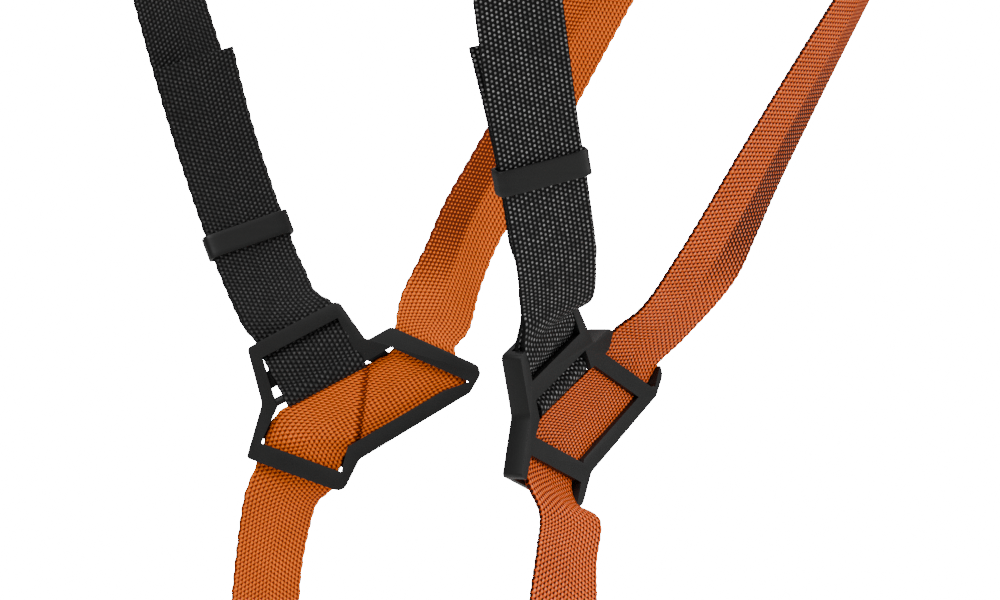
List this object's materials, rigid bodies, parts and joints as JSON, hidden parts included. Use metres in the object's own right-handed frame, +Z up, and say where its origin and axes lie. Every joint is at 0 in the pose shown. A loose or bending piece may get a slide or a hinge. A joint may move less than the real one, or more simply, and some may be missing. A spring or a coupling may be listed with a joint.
{
  "type": "helmet retention strap set",
  "caption": "Helmet straps: black front and orange rear webbing meet in a moulded side divider on each side, with rubber keepers, shell anchors and an open chin buckle.",
  "frame": {"origin": "midway between the two strap dividers, on the head's middle plane", "axes": "+Z up; +X towards the back of the wearer's head; +Y towards the wearer's right, -Y towards the wearer's left"},
  "size_m": [0.1312, 0.1562, 0.2242],
  "materials": {
    "black_webbing": "woven, matte",
    "orange_webbing": "woven, matte",
    "divider_nylon": "fine matte moulding",
    "keeper_rubber": "satin rubber",
    "anchor_nylon": "fine matte moulding",
    "buckle_nylon": "fine matte moulding",
    "black_thread": "sewn thread",
    "orange_thread": "sewn thread"
  },
  "bodies": {
    "straps": {"left_front_strap": "black_webbing", "left_rear_strap": "orange_webbing", "right_front_strap": "black_webbing", "right_rear_strap": "orange_webbing", "left_front_anchor": "anchor_nylon", "left_rear_anchor": "anchor_nylon", "right_front_anchor": "anchor_nylon", "right_rear_anchor": "anchor_nylon", "left_front_tack": "black_thread", "left_rear_tack": "orange_thread", "right_front_tack": "black_thread", "right_rear_tack": "orange_thread", "right_chin_tack": "orange_thread"},
    "left_divider": {"left_divider": "divider_nylon"},
    "right_divider": {"right_divider": "divider_nylon"},
    "left_keeper": {"left_keeper": "keeper_rubber"},
    "right_keeper": {"right_keeper": "keeper_rubber"},
    "left_chin_keeper": {"left_chin_keeper": "keeper_rubber"},
    "buckle_plug": {"buckle_plug": "buckle_nylon"},
    "plug_latch_front": {"plug_latch_front": "buckle_nylon"},
    "plug_latch_rear": {"plug_latch_rear": "buckle_nylon"},
    "buckle_socket": {"buckle_socket": "buckle_nylon"}
  },
  "joints": [
    {"name": "left_divider_slide", "type": "slide", "parent": "straps", "child": "left_divider", "axis": [0.6498, 0.3311, 0.6842], "range_m": [-0.004, 0.006], "deforming": ["left_front_strap", "left_rear_strap"]},
    {"name": "left_keeper_slide", "type": "slide", "parent": "straps", "child": "left_keeper", "axis": [-0.2822, -0.1881, 0.9407], "range_m": [-0.005, 0.01], "deforming": ["left_front_strap"]},
    {"name": "right_divider_slide", "type": "slide", "parent": "straps", "child": "right_divider", "axis": [0.6655, -0.3391, 0.6649], "range_m": [-0.004, 0.006], "deforming": ["right_front_strap", "right_rear_strap"]},
    {"name": "right_keeper_slide", "type": "slide", "parent": "straps", "child": "right_keeper", "axis": [-0.2504, 0.2782, 0.9273], "range_m": [-0.005, 0.01], "deforming": ["right_front_strap"]},
    {"name": "left_chin_keeper_slide", "type": "slide", "parent": "left_divider", "child": "left_chin_keeper", "axis": [0, 0, 1], "range_m": [-0.01, 0.01], "deforming": ["left_rear_strap"]},
    {"name": "buckle_plug_swing", "type": "hinge", "parent": "left_divider", "child": "buckle_plug", "pos_m": [-0.0128, -0.05585, -0.084], "axis": [1, 0, 0], "range_deg": [-35, 35]},
    {"name": "buckle_socket_swing", "type": "hinge", "parent": "right_divider", "child": "buckle_socket", "pos_m": [-0.0144, 0.05585, -0.084], "axis": [1, 0, 0], "range_deg": [-35, 35]},
    {"name": "plug_latch_front_squeeze", "type": "hinge", "parent": "buckle_plug", "child": "plug_latch_front", "pos_m": [-0.019, -0.05585, -0.0928], "axis": [0, -1, 0], "range_deg": [0, 8], "stiffness_Nm_per_rad": 0.05},
    {"name": "plug_latch_rear_squeeze", "type": "hinge", "parent": "buckle_plug", "child": "plug_latch_rear", "pos_m": [-0.0066, -0.05585, -0.0928], "axis": [0, 1, 0], "range_deg": [0, 8], "stiffness_Nm_per_rad": 0.05}
  ]
}
